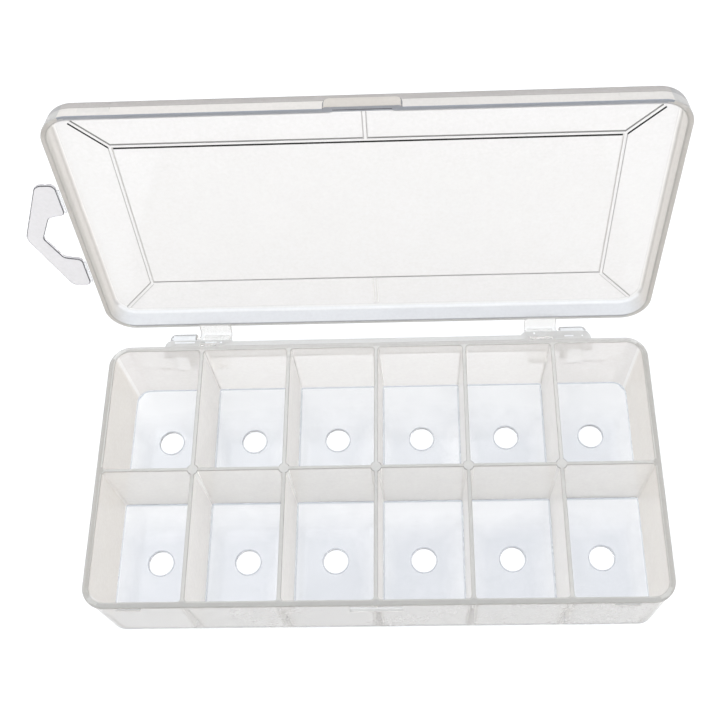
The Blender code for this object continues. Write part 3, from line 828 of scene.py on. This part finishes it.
# the root is wider on the hinge side of the free-edge ribs, so that it carries a
# wider painted dark line
place(rib_bar(2 * RIB_U + 0.5, -0.5, 1.24, 0.76, 0.0), -RIB_U, yr[1], 0)
place(rib_bar(2 * RIB_U + 0.5, -0.5, 0.74, 0.74, 0.0), -RIB_U, yr[0], 0)
for sx in (-1, 1):
    place(rib_bar(yr[0] - yr[1] + 0.45, -0.45, 0.74, 0.74, -0.006),
          sx * RIB_U, yr[1], 90)
for sx in (-1, 1):
    for yc, sy in ((yr[0], 1), (yr[1], -1)):
        wide = 1.16 if sy < 0 else 0.74
        # the side that looks towards the hinge has the wider root, for a wider
        # painted dark line
        left, right = (wide, 0.74) if sx * sy < 0 else (0.74, wide)
        du, dv = (9.1, 9.1) if sy < 0 else (10.6, 12.0)
        for b in rib_bar(math.hypot(du, dv), -0.25, left, right, -0.012):
            b.data.transform(
                Matrix.Translation((sx * RIB_U * MM, yc * MM, 0)) @
                Matrix.Rotation(math.atan2(sy * dv, sx * du), 4, "Z"))
            ribs.append(b)
for v0, v1 in ((3.9, RIB_V[0] - 0.3), (RIB_V[1] + 0.3, 85.4)):
    for b in rib_bar(v1 - v0, 0.0, 0.74, 0.74, -0.02):
        b.data.transform(Matrix.Translation((0, y_of(v0) * MM, 0)) @
                         Matrix.Rotation(-math.pi / 2, 4, "Z"))
        ribs.append(b)
boolean(lid, ribs, "UNION")

arms = []
neck_in = HINGE_Z + 3.80
ya = LID_RIM[1] - 1.2
for s in (-1, 1):
    xs = sorted((s * ARM_X[0], s * ARM_X[1]))
    pts = [(ya, neck_in), (HINGE_Y - 0.2, neck_in),
           (HINGE_Y + 0.15, neck_in - 0.15), (HINGE_Y + 0.30, neck_in - 0.5),
           (HINGE_Y + 0.30, HINGE_Z + 0.4),
           (HINGE_Y + 0.6, HINGE_Z - 0.8), (HINGE_Y + 1.45, HINGE_Z - 0.9),
           (HINGE_Y + ARM_R, HINGE_Z),
           (HINGE_Y + ARM_R, neck_in + 0.2),
           (HINGE_Y + ARM_R - 0.12, neck_in + 0.7),
           (HINGE_Y + ARM_R - 0.5, neck_in + 1.2),
           (HINGE_Y + ARM_R - 1.3, neck_in + 1.5), (ya, neck_in + 1.5)]
    arms.append(prism_x("arm", pts, *xs, bevel=0.2))
    arms.append(lathe_x("barrel", HINGE_Y, HINGE_Z,
                        [(xs[0] + 0.05, ARM_R - 0.25), (xs[0] + 0.3, ARM_R),
                         (xs[1] - 0.3, ARM_R), (xs[1] - 0.05, ARM_R - 0.25)]))
    arms.append(lathe_x("pin", HINGE_Y, HINGE_Z,
                        [(s * 57.6, 1.08), (s * 64.7, 1.08),
                         (s * 65.05, 0.95), (s * 65.2, 0.7)], n=32))
boolean(lid, arms, "UNION")
tidy(lid, flat=lambda c, n, area: area > 12.0 and abs(n.z) > 0.99999 and
     c.z > Z0 + 5.5)


RIB_FREE, RIB_HINGE = (2 * LID_RIM[1] - v for v in reversed(RIB_V))


def lid_tone(c, n):
    """Faces in the closed pose; v runs from the free edge to the hinge. Edges,
    rims and rib roots carry painted dark lines and painted shade, and some faces
    painted highlights.
    """
    u, v, w = c.x, LID_RIM[1] + c.y, c.z - Z0
    au = abs(u)
    dx, dy = au - LID_RIM[0] + LR, abs(c.y) - LID_RIM[1] + LR
    edge = (math.hypot(dx, dy) if dx > 0 and dy > 0 else max(dx, dy)) - LR
    if v > 2 * LID_RIM[1] + 0.1:                   # hinge arms
        # painted grey outline on the arms' rounded edges
        if 0.2 < abs(n.x) < 0.97:
            return (0.72, 0.72, 0.71, 0.40)
        return (1.0, 0.998, 0.985, 0.22)
    if c.y < -LID_RIM[1] - 0.02 and au < 10.8 and w < 5.1:    # thumb lip
        # painted dark sides of the thumb lip
        if abs(n.x) > 0.35:
            return (0.30, 0.30, 0.31, 0.7)
        return (0.76, 0.71, 0.645, 0.75)
    if w < 0.45 and n.z < -0.3:                    # rim land
        inner = edge < -1.22
        # marks below the rim land: arm-root pads painted white as a highlight,
        # rim pads dark grey, the groove bar black as a painted dark line
        if w < -0.001:
            if c.y > 40.0:
                if au > 46.0:
                    return (1.0, 1.0, 0.99, 0.10)
                return (0.30, 0.36, 0.38, 0.75)
            return (0.05, 0.05, 0.06, 0.80)
        # free edge: the outer part of the rim land is a dark bluish band of
        # painted shade
        if au < 81.0 and c.y < -40.0:
            if edge < -0.87:
                return (0.54, 0.545, 0.56, 0.75)
            return (0.36, 0.385, 0.43, 0.80)
        if au < 81.0 and c.y > 40.0:
            if inner:
                return (0.45, 0.455, 0.46, 0.75)
            return (0.68, 0.68, 0.68, 0.75)
        if inner:
            return (0.57, 0.565, 0.545, 0.75)
        return (0.67, 0.655, 0.63, 0.76)
    # painted light: the window marks are lighter than the wall
    if c.y < -44.56 and 67.0 < au < 76.5 and 1.2 < w < 4.0 and n.y < -0.9:
        return (0.86, 0.83, 0.785, 0.62)           # snap window
    if edge > -1.6 and w > 5.6:                    # rounded back edge
        # painted highlight on the hinge side of the rounded edge; elsewhere it
        # is grey, darkest along its outer line as painted shade
        if c.y > 40.0 and n.y > 0.1:
            return (1.0, 1.0, 1.0, 0.35)
        if w > 6.5:
            return (0.40, 0.39, 0.38, 0.78)
        return (0.56, 0.535, 0.51, 0.75)
    if edge > -0.9:                                # outer wall
        if n.y < -0.2 and abs(n.x) > 0.25:
            return (0.50, 0.495, 0.49, 0.72) if w > 3.62 else \
                (0.66, 0.65, 0.63, 0.66)
        # free-edge wall: the strip between w 3.62 and 3.84 is a painted dark
        # line, and the left side is painted lighter than the right
        if n.y < -0.5:
            if w > 3.84:
                return (0.56, 0.53, 0.505, 0.74)
            if w > 3.62:
                return (0.46, 0.44, 0.42, 0.74)
            if u < 0:
                return (0.91, 0.87, 0.82, 0.62)
            return (0.86, 0.825, 0.78, 0.62)
        return (0.72, 0.705, 0.68, 0.62)
    if edge > -3.2 and w < 4.85:                   # inner wall and step
        # painted light: the right side (u > 0) is lighter than the left; on the
        # hinge side, faces blend to a bluish tone by their facing, a painted sky
        # reflection
        side = (0.78, 0.765, 0.74, 0.66) if u > 0 else (0.70, 0.685, 0.66, 0.68)
        if w > 2.41:
            side = (0.88, 0.865, 0.835, 0.55)
        if c.y > 30.0 and n.y < -0.1:
            low = (0.90, 0.91, 0.935, 0.48)
            t = min(1.0, (n.y / 0.95) ** 2)
            return tuple(a + (b - a) * t for a, b in zip(side, low))
        if c.y < -42.0 and au < 83.0:
            return (0.90, 0.88, 0.85, 0.50)
        return side
    if edge > -3.6 and w < 5.99 and n.z > -0.99:   # fillet up to the panel
        if c.y > 30.0 and n.y < -0.05:
            return (0.96, 0.957, 0.95, 0.50)
        return (0.96, 0.945, 0.92, 0.50)
    # painted dark lines on the rib root fillets beside the ribs, standing for
    # the dark refraction lines; grey is their darkness
    grey = None
    if w < 5.998 and edge < -3.5 and n.z < 0.5:
        top, low = v - RIB_FREE, v - RIB_HINGE
        if abs(top) < 1.4 and au < 70.9:
            if top > 0.60:
                grey = 0.012
            elif top < -0.40:
                grey = 0.24
        elif abs(low) < 1.0 and au < 70.9:
            if low < -0.40:
                grey = 0.42
            elif low > 0.48:
                grey = 0.78
        elif abs(au - RIB_U) < 1.0 and RIB_FREE + 0.7 < v < RIB_HINGE - 0.7:
            if abs(au - RIB_U) > 0.40:
                grey = 0.36 if au > RIB_U else 0.60
        elif au < 1.2:
            if au > 0.40:
                grey = 0.45 if v < 40 else 0.93
        elif au > RIB_U - 1.5:
            # distance across the diagonal, positive towards the hinge side
            if v < 40:
                t = ((au - RIB_U) + (v - RIB_FREE)) / math.sqrt(2.0)
                if 0.52 < t < 1.3:
                    grey = 0.012
                elif -1.2 < t < -0.42:
                    grey = 0.24
            else:
                t = (12.0 * (au - RIB_U) - 10.6 * (v - RIB_HINGE)) / \
                    math.hypot(12.0, 10.6)
                if 0.44 < abs(t) < 1.2:
                    grey = 0.40
    if grey is not None:
        return (grey, grey * 0.985, grey * 0.96, 0.85 if grey < 0.1 else 0.5)
    return (0.95, 0.943, 0.935, 0.33)


paint(lid, lid_tone)
lid.data.transform(swing)
show(lid, "lid_moulding", "lid", ["lid"], pp_lid)

# --------------------------------------------------------------- hang tab ---
y_mid = y_of(TAB_V0)


def tab_outline():
    half = [(-102.9, 0.0), (-102.85, 0.9), (-102.6, 1.8), (-95.6, 18.9)]
    for cx, cy, r, a0, a1, n in ((-92.6, 18.4, 3.0, 165, 90, 9),
                                 (-90.7, 19.5, 1.9, 90, 0, 9),
                                 (-90.5, 10.9, 1.7, 0, -90, 8),
                                 (-92.6, 6.6, 2.1, 100, 160, 7)):
        for k in range(n + 1):
            a = math.radians(a0 + (a1 - a0) * k / n)
            half.append((cx + r * math.cos(a), cy + r * math.sin(a)))
    half += [(-97.45, 1.1), (-97.7, 0.5), (-97.75, 0.0)]
    lower = [(x, -y) for x, y in reversed(half[1:-1])]
    return half + lower


tab = prism_z("tab", [(x, y_mid + dy) for x, dy in tab_outline()],
              Z0, Z0 + TAB_T, bevel=0.24, seg=1)
tidy(tab, 40.0)


def tab_tone(c, n):
    """Flat faces and edge faces; the rounded edge on the underside is painted as
    a fine dark line, and the underside a little darker than the top.
    """
    if n.z < -0.97:
        return (0.83, 0.81, 0.80, 0.38)
    if n.z < -0.15:
        return (0.07, 0.07, 0.08, 0.45)
    return (0.93, 0.92, 0.92, 0.34)


paint(tab, tab_tone)
tab.data.transform(swing)
show(tab, "hang_tab_plate", "hang_tab", ["hang_tab"], pp_tab)

for label, sy in (("front", -1), ("rear", 1)):
    ys = sorted((y_mid + sy * 10.6, y_mid + sy * 19.6))
    web = soft_box("web", -88.62, -87.9, ys[0], ys[1], Z0, Z0 + 0.35, 0.08, 2)
    tidy(web)
    paint(web, lambda c, n: (0.90, 0.90, 0.90, 0.25))
    web.data.transform(swing)
    show(web, "film_hinge_" + label, "lid", ["hang_tab_web_" + label],
         pp_tab)

for ob in list(work.objects):
    bpy.data.objects.remove(ob, do_unlink=True)
bpy.data.collections.remove(work)

# ------------------------------------------------------ floor, light, view ---
bm = bmesh.new()
bmesh.ops.create_grid(bm, x_segments=1, y_segments=1, size=4.0)
me = bpy.data.meshes.new("floor")
bm.to_mesh(me)
bm.free()
floor = bpy.data.objects.new("floor", me)
floor.location = (0, 0, -0.00005)
scene.collection.objects.link(floor)
fm = bpy.data.materials.new("white_paper")
fm.use_nodes = True
fb = fm.node_tree.nodes["Principled BSDF"]
fb.inputs["Base Color"].default_value = (0.90, 0.90, 0.90, 1.0)
fb.inputs["Roughness"].default_value = 0.9
fb.inputs["Specular IOR Level"].default_value = 0.1
me.materials.append(fm)

world = bpy.data.worlds.new("studio")
scene.world = world
world.use_nodes = True
wn = world.node_tree
wn.nodes.clear()
wo = wn.nodes.new("ShaderNodeOutputWorld")
bg = wn.nodes.new("ShaderNodeBackground")
tc = wn.nodes.new("ShaderNodeTexCoord")
sx = wn.nodes.new("ShaderNodeSeparateXYZ")
ramp = wn.nodes.new("ShaderNodeValToRGB")
wn.links.new(tc.outputs["Generated"], sx.inputs["Vector"])
# the studio is dim towards its back wall: lower the gradient there
lean = wn.nodes.new("ShaderNodeMath")
lean.operation = "MULTIPLY_ADD"
lean.inputs[1].default_value = -0.30
wn.links.new(sx.outputs["Y"], lean.inputs[0])
wn.links.new(sx.outputs["Z"], lean.inputs[2])
wn.links.new(lean.outputs["Value"], ramp.inputs["Fac"])
el = ramp.color_ramp.elements
el[0].position, el[0].color = 0.0, (0.45, 0.44, 0.43, 1)
el[1].position, el[1].color = 1.0, (1.00, 1.06, 1.16, 1)
e = el.new(0.25)
e.color = (0.62, 0.61, 0.60, 1)
e = el.new(0.50)
e.color = (0.80, 0.80, 0.81, 1)
e = el.new(0.75)
e.color = (0.96, 0.99, 1.04, 1)
bg.inputs["Strength"].default_value = 0.9
wn.links.new(ramp.outputs["Color"], bg.inputs["Color"])
wn.links.new(bg.outputs["Background"], wo.inputs["Surface"])


def softbox(name, loc, target, size, power, color=(1, 1, 1)):
    ld = bpy.data.lights.new(name, "AREA")
    ld.shape = "RECTANGLE"
    ld.size, ld.size_y = size
    ld.energy = power
    ld.color = color
    ob = bpy.data.objects.new(name, ld)
    ob.location = loc
    d = Vector(target) - Vector(loc)
    ob.rotation_euler = d.to_track_quat("-Z", "Y").to_euler()
    ob.visible_glossy = False
    scene.collection.objects.link(ob)
    return ob


softbox("key", (-0.5, 0.7, 1.3), (0, 0, 0.03), (1.4, 1.0), 12.0,
        (1.0, 0.99, 0.975))
softbox("fill", (0.9, -0.5, 1.2), (0, 0, 0.03), (1.2, 1.2), 8.0,
        (0.96, 0.98, 1.0))

AZ, EL, ROLL = (math.radians(a) for a in (-4.9302, 63.3265, -5.5152))
FOCAL = 1097.45
fwd = Vector((math.sin(AZ) * math.cos(EL), math.cos(AZ) * math.cos(EL),
              -math.sin(EL)))
right = Vector((math.cos(AZ), -math.sin(AZ), 0.0))
upv = right.cross(fwd)
r2 = right * math.cos(ROLL) + upv * math.sin(ROLL)
u2 = -right * math.sin(ROLL) + upv * math.cos(ROLL)
cd = bpy.data.cameras.new("camera")
cam = bpy.data.objects.new("camera", cd)
scene.collection.objects.link(cam)
cam.matrix_world = Matrix((
    (r2.x, u2.x, -fwd.x, 13.819 * MM), (r2.y, u2.y, -fwd.y, -122.548 * MM),
    (r2.z, u2.z, -fwd.z, 338.441 * MM), (0, 0, 0, 1)))
cd.sensor_fit = "HORIZONTAL"
cd.sensor_width = 36.0
cd.lens = 36.0 * FOCAL / 720.0
cd.shift_x = (360.0 - 377.519) / 720.0
cd.shift_y = (371.258 - 360.0) / 720.0
cd.clip_start, cd.clip_end = 0.01, 30.0
scene.camera = cam

scene.view_settings.view_transform = "Standard"
scene.view_settings.look = "None"
scene.view_settings.exposure = 0.0
scene.cycles.max_bounces = 24
scene.cycles.transmission_bounces = 24
scene.cycles.transparent_max_bounces = 48
scene.cycles.diffuse_bounces = 5
scene.cycles.glossy_bounces = 8
